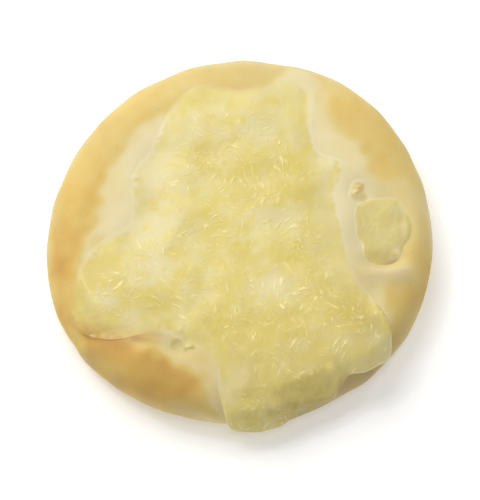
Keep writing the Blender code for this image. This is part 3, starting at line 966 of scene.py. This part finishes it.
print("grid of 5 has a rim of", len(rim_loop(np.zeros((5, 5)))), "vertices")

# %% Cheese mesh
SHEET_GRID = 287
LIP_ROWS = 9
LIP_SHARE = 2.0 * LIP_ROWS / (SHEET_GRID - 1)
THINNEST = 0.15 * MM
FEATHER = 2.6 * MM
FEATHER_DIP = 0.03 * MM
SUNK = 0.35 * MM
BORDER_RUN = 3.4
BORDER_RIPPLE = (3.0, 0.5, 45)
FULL_FILM = 0.1
UNDER_SHARES = (0.985, 0.93, 0.75, 0.4)


def lip_profile(bearing, share):
    """Distance along the crust, height above it and tuck, for the top and the lip.

    Inside the lip the height is the thickness. A tucked lip then follows an arc from
    its top round and under, and a thin one goes straight out as it thins.
    """
    reach, lip, _ = edge_values(bearing)
    tuck = lip_tuck(lip)
    slant = 1.0 + (edge_slant(bearing) - 1.0) * tuck
    rolled = np.clip((share - 1.0 + LIP_SHARE) / LIP_SHARE, 0.0, 1.0)
    inside = np.clip(share / (1.0 - LIP_SHARE), 0.0, 1.0)
    half_lip = (FEATHER + (0.5 * lip * tuck - FEATHER) * tuck) * slant
    shoulder = reach - half_lip
    thickness = np.maximum(sheet_thickness(bearing, shoulder * inside), THINNEST)
    centre = thickness * 0.5 * tuck
    deepest = np.arcsin(-centre / (thickness - centre))
    angle = math.pi / 2.0 + (deepest - math.pi / 2.0) * rolled
    outwards = tuck * np.cos(angle) * (rolled > 0.0) + (1.0 - tuck) * rolled
    along = shoulder * inside + half_lip * outwards
    rounded = centre + (thickness - centre) * np.sin(angle)
    feathered = sheet_thickness(bearing, along) - FEATHER_DIP * rolled**2
    return along, tuck * rounded + (1.0 - tuck) * feathered, tuck


def add_cheese():
    """The top and lip from the bent grid, the underside from a few rings and a fan."""
    bearing, share = disc_grid(SHEET_GRID)
    along, height, tuck = lip_profile(bearing, share)
    place, normal = skin_point(bearing, along)
    top = place + sheet_direction(normal) * height[..., None]
    grid = np.arange(top[..., 0].size).reshape(SHEET_GRID, SHEET_GRID)
    loop = rim_loop(grid)
    under_bearing = bearing.ravel()[loop]
    under_along = along.ravel()[loop] * np.array(UNDER_SHARES)[:, None]
    sunk = crust_normal(under_bearing, under_along) * SUNK
    under = crust_point(under_bearing, under_along) - sunk
    pole = crust_point(0.0, 0.0) - np.array([0.0, 0.0, SUNK])
    points = np.vstack([top.reshape(-1, 3), under.reshape(-1, 3), pole])
    rings = np.vstack([loop, grid.size + np.arange(under_along.size).reshape(-1, len(loop))])
    faces = [grid_quads(grid), ring_quads(rings), fan(len(points) - 1, rings[-1, ::-1])]
    x, y = unrolled(bearing, along / MM)
    border = edge_field(bearing, along)[0] / MM + ripples([BORDER_RIPPLE], x, y)
    cover = 1.0 - (1.0 - ease(border / BORDER_RUN)) * (1.0 - tuck)
    cover = cover * ease(height / MM / FULL_FILM)
    marks = {"thick": height / MM, "cover": cover}
    marks.update(bread_marks(bearing, along, place))
    marks.update(cheese_tones(x, y))
    return make_piece("manakish_cheese", points, faces, marks)


cheese = add_cheese()

# %% [markdown]
# ## The pool, the nub, the crumb and the drop
#
# Some cheese slid into a hollow of the rim and melted flat there. Its piece is a disc bent
# over the hollow, which thins out to nothing at its border, and on its outer side a low
# ridge is left. A small nub behind it has toasted. One crumb lies in a dent of its own in
# front of the sheet, next to a drop that has soaked in. All four are the same kind of
# thing, an oval puddle of cheese, so one function makes them from a row of values each.

# %% Puddles of cheese
PUDDLE_DIP = 0.05 * MM
PUDDLE_FILM = 0.5
PUDDLE_LEAST = 0.2 * MM
PUDDLES = {
    # Lengths are in mm. The knobs are waves round the outline: how many, what share of its
    # radius, and a phase. A bulge or swell is a bearing, how far it goes outwards and its
    # half width in degrees. The border is the width over which the cheese thins out, and
    # the relief is a share of the height of the wisps. The humps have rows like those of
    # the crust, and the grid has that many points to a side.
    "manakish_pool": {
        "middle": POOL_CENTRE, "half_widths": POOL_HALF_WIDTHS, "squareness": 3.2,
        "knobs": (5, 0.02, 20), "bulges": ((5, 2.2, 40), (221, -2.7, 24), (316, -0.5, 14)),
        "border": 1.68, "border_swells": ((35, 3.36, 70),),
        "depth": 0.3, "relief": 0.1, "humps": ((52.6, 3.2, 0.6, 1.3, 4.5),), "grid": 101,
    },
    "manakish_nub": {
        "middle": (36.9, 14.6), "half_widths": (3.5, 4.1), "squareness": 2.4,
        "knobs": (3, 0.06, 100), "border": 3.6, "depth": 0.75, "relief": 0.35, "grid": 61,
    },
    "manakish_crumb": {
        "middle": (-15.9, -37.4), "half_widths": (2.3, 1.8),
        "knobs": (3, 0.12, 40), "border": 1.7, "depth": 0.55, "relief": 0.2, "grid": 41,
    },
    "manakish_drop": {
        "middle": (-19.6, -36.6), "half_widths": (2.9, 2.7),
        "knobs": (0, 0.0, 0), "border": 2.1, "depth": 0.25, "relief": 0.1, "grid": 41,
    },
}


def puddle_outline(bearing, half_widths, knobs, squareness=2.0, bulges=()):
    """Plan radius, in metres, of an oval about its own middle.

    One over it is the root, of the squareness's degree, of the sum of the cosine over
    one half width and the sine over the other, each to the power of the squareness.
    Above 2 the corners fill out. Bulges are added, and the knobs are a cosine on top.
    """
    angle = np.radians(bearing)
    across = np.abs(np.cos(angle) / (half_widths[0] * MM)) ** squareness
    along = np.abs(np.sin(angle) / (half_widths[1] * MM)) ** squareness
    oval = (across + along) ** (-1.0 / squareness) + swells(bulges, bearing)
    count, share, phase = knobs
    return oval * (1.0 + share * np.cos(np.radians(count * bearing + phase)))


def walked_distance(bearing, radius):
    """Distance walked along the crust to a plan radius, within the widest line."""
    crest = outline_radius(bearing) - RIM_WIDTH
    over = np.arcsin(np.clip((radius - crest) / RIM_WIDTH, 0.0, 1.0))
    return np.minimum(radius, crest) + over / (math.pi / 2.0) * RIM_ARC


def add_puddle(name, middle, grid, depth, relief, border, border_swells=(), humps=(), **outline):
    """A low patch of cheese over the crust, closed by a wall and a copy of it below."""
    bearing, share = disc_grid(grid)
    reach = puddle_outline(bearing, **outline)
    feather = border * MM + swells(border_swells, bearing)
    away_x, away_y = unrolled(bearing, reach * share)
    x = middle[0] * MM + away_x
    y = middle[1] * MM + away_y
    round_bearing = np.degrees(np.arctan2(y, x))
    walked = walked_distance(round_bearing, np.hypot(x, y))
    place, normal = skin_point(round_bearing, walked)
    uneven = read_map(crisp_relief, x / MM, y / MM) * relief * MM
    body = np.maximum(depth * MM + lumps(humps, x, y) + uneven, PUDDLE_LEAST)
    height = body * ease((1.0 - share) * reach / feather) - PUDDLE_DIP * share**6
    top = place + normal * height[..., None]
    below = place - normal * 2.0 * SUNK
    points = np.vstack([top.reshape(-1, 3), below.reshape(-1, 3)])
    upper = np.arange(grid * grid).reshape(grid, grid)
    lower = upper + grid * grid
    wall = ring_quads(np.stack([rim_loop(upper), rim_loop(lower)]))
    faces = [grid_quads(upper), wall, grid_quads(lower)[:, ::-1]]
    marks = {"thick": height / MM, "cover": ease(height / (depth * MM) / PUDDLE_FILM)}
    marks.update(bread_marks(round_bearing, walked, place))
    marks.update(cheese_tones(x / MM, y / MM))
    marks = {mark: np.tile(values.ravel(), 2) for mark, values in marks.items()}
    return make_piece(name, points, faces, marks)


pool, nub, crumb, drop = [add_puddle(name, **values) for name, values in PUDDLES.items()]

# %% [markdown]
# ## Finishes
#
# Three effects serve more than one material or place, so each is a node group with named
# inputs. One gives cloudy blotches. One draws the short raised strokes that are left of the
# shreds, which catch the light as glints. One gives the colour of baked dough, which the
# cheese needs too, where it thins out and the dough shows through it.


# %% Node helpers
def from_hex(text):
    """Linear light of a colour written as a screen colour, such as e4d281."""
    levels = np.array([int(text[i : i + 2], 16) for i in (0, 2, 4)]) / 255.0
    low = levels / 12.92
    high = ((levels + 0.055) / 1.055) ** 2.4
    return (*np.where(levels > 0.04045, high, low).tolist(), 1.0)


def set_inputs(tree, node, values):
    """Fill a node's inputs: a socket is linked, and a number or a colour is set."""
    for name, value in values.items():
        if isinstance(value, bpy.types.NodeSocket):
            tree.links.new(value, node.inputs[name])
        else:
            node.inputs[name].default_value = value


def add_node(tree, kind, values=None, **settings):
    """A node of that kind with its settings and its inputs."""
    node = tree.nodes.new(kind)
    for name, value in settings.items():
        setattr(node, name, value)
    set_inputs(tree, node, values or {})
    return node


def new_group(name, numbers, outputs):
    """A group with a Vector and named numbers as inputs; gives its inner sockets too."""
    group = bpy.data.node_groups.new(name, "ShaderNodeTree")
    group.interface.new_socket("Vector", in_out="INPUT", socket_type="NodeSocketVector")
    for socket, value in numbers.items():
        made = group.interface.new_socket(socket, in_out="INPUT", socket_type="NodeSocketFloat")
        made.default_value = value
    for socket, kind in outputs.items():
        group.interface.new_socket(socket, in_out="OUTPUT", socket_type=f"NodeSocket{kind}")
    entry = group.nodes.new("NodeGroupInput")
    leave = group.nodes.new("NodeGroupOutput")
    return group, entry.outputs, leave


def place_group(tree, group, coordinates, values):
    """The outputs of the group, placed in a tree with its own values."""
    values = {"Vector": coordinates, **values}
    return add_node(tree, "ShaderNodeGroup", values, node_tree=group).outputs


def math_node(tree, operation, first, second=0.0, third=0.0, clamp=False):
    """The result of a math node, whose values are numbers or sockets."""
    values = {0: first, 1: second, 2: third}
    return add_node(tree, "ShaderNodeMath", values, operation=operation, use_clamp=clamp).outputs[0]


def between(tree, value, low, high):
    """Smooth step of a socket from 0 at the low value to 1 at the high one."""
    values = {"Value": value, "From Min": low, "From Max": high}
    node = add_node(tree, "ShaderNodeMapRange", values, interpolation_type="SMOOTHSTEP")
    return node.outputs["Result"]


def add_noise(tree, vector, scale, detail=2.0, roughness=0.5):
    """The outputs of a noise texture over a vector socket."""
    values = {"Vector": vector, "Scale": scale, "Detail": detail, "Roughness": roughness}
    return add_node(tree, "ShaderNodeTexNoise", values).outputs


def ramp_colours(tree, share, stops):
    """A colour ramp through places and screen colours."""
    node = tree.nodes.new("ShaderNodeValToRGB")
    elements = node.color_ramp.elements
    while len(elements) < len(stops):
        elements.new(0.5)
    for element, (place, colour) in zip(elements, stops):
        element.position = place
        element.color = from_hex(colour)
    tree.links.new(share, node.inputs[0])
    return node.outputs[0]


def mix_colours(tree, share, first, second):
    """Mix a colour socket with a second one, or with a screen colour, by a share."""
    second = from_hex(second) if isinstance(second, str) else second
    values = {0: share, 6: first, 7: second}
    return add_node(tree, "ShaderNodeMix", values, data_type="RGBA").outputs[2]


print("node helpers ready")

# %% Cloudy blotches
HALF_WAY = 0.5
BLOTCH_DETAIL = 4.0
BLOTCH_ROUGHNESS = 0.55


def make_blotches():
    """Group: a mask from 0 to 1 of cloudy blotches at a scale per metre."""
    numbers = {"Scale": 200.0, "Contrast": 1.5}
    group, given, leave = new_group("blotches", numbers, {"Mask": "Float"})
    grade = (BLOTCH_DETAIL, BLOTCH_ROUGHNESS)
    noise = add_noise(group, given["Vector"], given["Scale"], *grade)["Fac"]
    centred = math_node(group, "SUBTRACT", noise, HALF_WAY)
    mask = math_node(group, "MULTIPLY_ADD", centred, given["Contrast"], HALF_WAY, clamp=True)
    group.links.new(mask, leave.inputs["Mask"])
    return group


blotches = make_blotches()
print("group:", blotches.name)

# %% Strokes of surviving shreds
SHRED_BEND = 2.5 * MM
STROKE_RANGE = (0.56, 0.76)
PATCH_BORDER = (0.02, 0.14)
LEFT_OUT_RANGE = (-0.05, 0.07)
LEFT_OUT_SCALE = 0.45


def make_shreds():
    """Group: short raised strokes, side by side in patches with a heading of their own.

    The place is bent a little by a noise. The cells of a second pattern give each patch
    a random heading. A noise stretched along the heading and squeezed across it leaves
    long thin spots, and only their highest part is kept. The strokes fade towards the
    border of their patch, and a broad noise leaves some of them out.
    """
    numbers = {"Patches": 200.0, "Along": 350.0, "Across": 1500.0, "Cover": 0.5}
    group, given, leave = new_group("shreds", numbers, {"Height": "Float"})
    noise = add_noise(group, given["Vector"], given["Patches"], 1.0)["Color"]
    values = {0: noise, 1: (SHRED_BEND,) * 3, 2: given["Vector"]}
    bent = add_node(group, "ShaderNodeVectorMath", values, operation="MULTIPLY_ADD").outputs[0]
    values = {"Vector": bent, "Scale": given["Patches"]}
    cells = add_node(group, "ShaderNodeTexVoronoi", values, feature="F1")
    borders = add_node(group, "ShaderNodeTexVoronoi", values, feature="DISTANCE_TO_EDGE")
    drawn = add_node(group, "ShaderNodeSeparateColor", {"Color": cells.outputs["Color"]})
    angle = math_node(group, "MULTIPLY", drawn.outputs["Red"], 2.0 * math.pi)
    values = {"Vector": bent, "Angle": angle}
    turned = add_node(group, "ShaderNodeVectorRotate", values, rotation_type="Z_AXIS").outputs[0]
    pitches = {"X": given["Along"], "Y": given["Across"], "Z": given["Along"]}
    pitch = add_node(group, "ShaderNodeCombineXYZ", pitches).outputs[0]
    values = {0: turned, 1: pitch}
    drawn_out = add_node(group, "ShaderNodeVectorMath", values, operation="MULTIPLY").outputs[0]
    strokes = between(group, add_noise(group, drawn_out, 1.0, 1.0)["Fac"], *STROKE_RANGE)
    inside = between(group, borders.outputs["Distance"], *PATCH_BORDER)
    broader = math_node(group, "MULTIPLY", given["Patches"], LEFT_OUT_SCALE)
    broad = add_noise(group, given["Vector"], broader)["Fac"]
    limit = math_node(group, "SUBTRACT", 1.0, given["Cover"])
    chosen = between(group, math_node(group, "SUBTRACT", broad, limit), *LEFT_OUT_RANGE)
    height = math_node(group, "MULTIPLY", math_node(group, "MULTIPLY", strokes, inside), chosen)
    group.links.new(height, leave.inputs["Height"])
    return group


shreds = make_shreds()
print("group:", shreds.name)

# %% Colour of baked dough
CRUST_RAMP = (
    # place on the ramp, colour
    (0.00, "eee0b1"),
    (0.20, "ebdaa2"),
    (0.42, "e5cc80"),
    (0.62, "e1bf69"),
    (0.76, "d9ae5a"),
    (1.00, "c18b48"),
)
CRUST_CLOUD = {"Scale": 90.0, "Contrast": 1.6}
CRUST_GRAIN = {"Scale": 900.0, "Contrast": 1.4}
CLOUD_SHIFT = 0.07
BAKE_AND_SHADE_SHARE = 0.72
SPECK_RANGE = (0.68, 0.85)
SPECK_SHARE = 0.5
SPECK_COLOUR = "b08040"
# painted shade: a greyish brown mixed into the crust where it lies in shade, in creases, under the
# lobes, at the silhouette and towards the table
DULL_AND_SHADE_SHARE = 0.75
DULL_AND_SHADE_COLOUR = "b6a278"


def make_crust_colour():
    """Group: the colour of baked dough for a browning from 0 to 1, with painted shade mixed in, and
    its fine grain.
    """
    outputs = {"Colour": "Color", "Grain": "Float"}
    group, given, leave = new_group("crust colour", {"Bake": 0.0, "Dull And Painted Shade": 0.0}, outputs)
    cloud = place_group(group, blotches, given["Vector"], CRUST_CLOUD)["Mask"]
    grain = place_group(group, blotches, given["Vector"], CRUST_GRAIN)["Mask"]
    centred = math_node(group, "SUBTRACT", cloud, HALF_WAY)
    shift = math_node(group, "MULTIPLY", centred, CLOUD_SHIFT)
    level = math_node(group, "MULTIPLY_ADD", given["Bake"], BAKE_AND_SHADE_SHARE, shift, clamp=True)
    colour = ramp_colours(group, level, CRUST_RAMP)
    speck = math_node(group, "MULTIPLY", between(group, grain, *SPECK_RANGE), level)
    speck = math_node(group, "MULTIPLY", speck, SPECK_SHARE)
    colour = mix_colours(group, speck, colour, SPECK_COLOUR)
    dull_and_painted_shade = math_node(group, "MULTIPLY", given["Dull And Painted Shade"], DULL_AND_SHADE_SHARE)
    colour = mix_colours(group, dull_and_painted_shade, colour, DULL_AND_SHADE_COLOUR)
    set_inputs(group, leave, {"Colour": colour, "Grain": grain})
    return group


crust_colour = make_crust_colour()
print("group:", crust_colour.name)


# %% Material helpers
def read_mark(tree, name):
    """The number that the mesh holds for each vertex under that name."""
    return add_node(tree, "ShaderNodeAttribute", attribute_name=name).outputs["Fac"]


def place_crust_colour(tree, coordinates):
    """The colour and the grain of the baked dough, from two marks of the mesh."""
    values = {"Bake": read_mark(tree, "bake_and_shade"), "Dull And Painted Shade": read_mark(tree, "dull_and_painted_shade")}
    return place_group(tree, crust_colour, coordinates, values)


def add_bump(tree, height, distance, strength, **before):
    """Bend the surface by a height socket, over an earlier Normal if there is one."""
    values = {"Height": height, "Distance": distance, "Strength": strength, **before}
    return add_node(tree, "ShaderNodeBump", values).outputs[0]


def new_material(name):
    """A material, its tree, its shader, and the object's coordinates."""
    material = bpy.data.materials.new(name)
    material.use_nodes = True
    tree = material.node_tree
    coordinates = tree.nodes.new("ShaderNodeTexCoord").outputs["Object"]
    return material, tree, tree.nodes["Principled BSDF"], coordinates


print("material helpers ready")

# %% [markdown]
# The crust is matte and runs from pale dough to golden brown. The bake mark, which also
# carries some painted shade, picks the colour from a ramp. Faint clouds shift it, so that no
# band is even, and a few specks of toasted flour sit in the brown. A second mark mixes in a
# greyish brown as painted shade.

# %% Crust material
CRUST_BUMP = (0.08 * MM, 0.5)
CRUST_SHADER = {
    "Roughness": 0.6,
    "Specular IOR Level": 0.35,
    "Subsurface Weight": 0.3,
    "Subsurface Radius": (1.0, 0.6, 0.3),
    "Subsurface Scale": 1.6 * MM,
}


def make_crust():
    """Baked dough."""
    material, tree, shader, coordinates = new_material("baked_crust")
    dough = place_crust_colour(tree, coordinates)
    normal = add_bump(tree, dough["Grain"], *CRUST_BUMP)
    set_inputs(tree, shader, {**CRUST_SHADER, "Base Color": dough["Colour"], "Normal": normal})
    return material


crust = make_crust()
print("material:", crust.name)

# %% [markdown]
# The cheese is translucent, so light spreads inside it and softens every hump. Its yellow
# is deeper where it has melted well, it goes pale in curds, and a thin film of it takes on
# the colour of the dough beneath. Painted shade and painted light are mixed in with these
# tones. The strokes of the shreds are smoother and raised, their colour is paler and also
# carries a painted glint, and a thin coat of oil gives them their glints.

# %% Cheese material
MELT_CLOUD = {"Scale": 130.0, "Contrast": 1.9}
MELT_GRAIN = {"Scale": 1300.0, "Contrast": 1.3}
MELT_RAMP = ((0.1, "dfcb60"), (0.5, "e4d27a"), (0.9, "e9dc9a"))
MELT_TONES = (
    # mark, greatest share, colour
    # rich yellow, and painted shade at the lower right
    ("rich_and_painted_shade", 0.8, "d4bd58"),
    # pale curds, and painted light on slopes turned away from the light
    ("pale_and_painted_light", 0.75, "e8dcb0"),
    ("soaked", 0.8, "d9c985"),
    # painted shade: a dark olive brown mixed in where the cheese lies in shade
    ("painted_shade", 0.85, "967e48"),
    ("toasted", 0.8, "d6ad66"),
)
SHRED_KINDS = (
    {"Patches": 130.0, "Along": 270.0, "Across": 950.0},
    {"Patches": 220.0, "Along": 460.0, "Across": 1400.0},
)
SHRED_COVER = 0.55
SHREDDED_MORE = 0.13
THICK_ENOUGH = (0.25, 1.3)
SOAKED_SMOOTH = -0.85
# the strokes are paler shreds with a painted glint: their colour is mixed far towards a bright
# cream
STROKE_AND_GLINT_SHARE = 0.8
STROKE_AND_GLINT_COLOUR = "ffeea2"
STROKE_BUMP = (0.14 * MM, 1.0)
GRAIN_BUMP = (0.03 * MM, 0.5)
# what a stroke adds, and what there is without one
ROUGHNESS = (-0.22, 0.45)
OIL = (0.3, 0.12)
SEEN_INTO = 0.7
MELT_SHADER = {
    "Subsurface Radius": (1.0, 0.8, 0.45),
    "Subsurface Scale": 1.2 * MM,
    "Coat Roughness": 0.12,
}


def place_strokes(tree, coordinates):
    """Both kinds of strokes, on thick cheese that hasn't soaked."""
    shredded = read_mark(tree, "shredded")
    share = math_node(tree, "MULTIPLY_ADD", shredded, SHREDDED_MORE, SHRED_COVER)
    kinds = [{**kind, "Cover": share} for kind in SHRED_KINDS]
    heights = [place_group(tree, shreds, coordinates, kind)["Height"] for kind in kinds]
    strokes = math_node(tree, "MAXIMUM", *heights)
    body = between(tree, read_mark(tree, "thick"), *THICK_ENOUGH)
    strokes = math_node(tree, "MULTIPLY", strokes, body)
    kept = math_node(tree, "MULTIPLY_ADD", read_mark(tree, "soaked"), SOAKED_SMOOTH, 1.0)
    return math_node(tree, "MULTIPLY", strokes, kept)


def make_melt():
    """Half-melted cheese."""
    material, tree, shader, coordinates = new_material("melted_cheese")
    shader.subsurface_method = "BURLEY"
    cloud = place_group(tree, blotches, coordinates, MELT_CLOUD)["Mask"]
    grain = place_group(tree, blotches, coordinates, MELT_GRAIN)["Mask"]
    strokes = place_strokes(tree, coordinates)
    cover = read_mark(tree, "cover")
    colour = ramp_colours(tree, cloud, MELT_RAMP)
    for tone, share, tint in MELT_TONES:
        strength = math_node(tree, "MULTIPLY", read_mark(tree, tone), share, clamp=True)
        colour = mix_colours(tree, strength, colour, tint)
    # painted glint: the strokes are lightened towards bright cream
    stroke_and_glint = math_node(tree, "MULTIPLY", strokes, STROKE_AND_GLINT_SHARE)
    colour = mix_colours(tree, stroke_and_glint, colour, STROKE_AND_GLINT_COLOUR)
    dough = place_crust_colour(tree, coordinates)["Colour"]
    oil = math_node(tree, "MULTIPLY_ADD", strokes, *OIL)
    normal = add_bump(tree, strokes, *STROKE_BUMP)
    values = {
        "Base Color": mix_colours(tree, cover, dough, colour),
        "Roughness": math_node(tree, "MULTIPLY_ADD", strokes, *ROUGHNESS),
        "Subsurface Weight": math_node(tree, "MULTIPLY", cover, SEEN_INTO),
        "Coat Weight": math_node(tree, "MULTIPLY", oil, cover),
        "Normal": add_bump(tree, grain, *GRAIN_BUMP, Normal=normal),
    }
    set_inputs(tree, shader, {**MELT_SHADER, **values})
    return material


melt = make_melt()
bread.data.materials.append(crust)
for piece in (cheese, pool, nub, crumb, drop):
    piece.data.materials.append(melt)
print("materials:", [material.name for material in bpy.data.materials])

# %% [markdown]
# ## Handing the pieces over
#
# Every piece rides on the one body. The first three stand for their imported nodes, which
# are hidden, and the nub, the crumb and the drop are added to them.

# %% Ride and replace
for piece, node, slot in (
    (bread, "bread", "crust"),
    (cheese, "cheese", "melted_cheese"),
    (pool, "cheese_pool", "melted_cheese"),
):
    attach(piece, "root")
    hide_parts(node)
for piece in (nub, crumb, drop):
    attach(piece, "root")
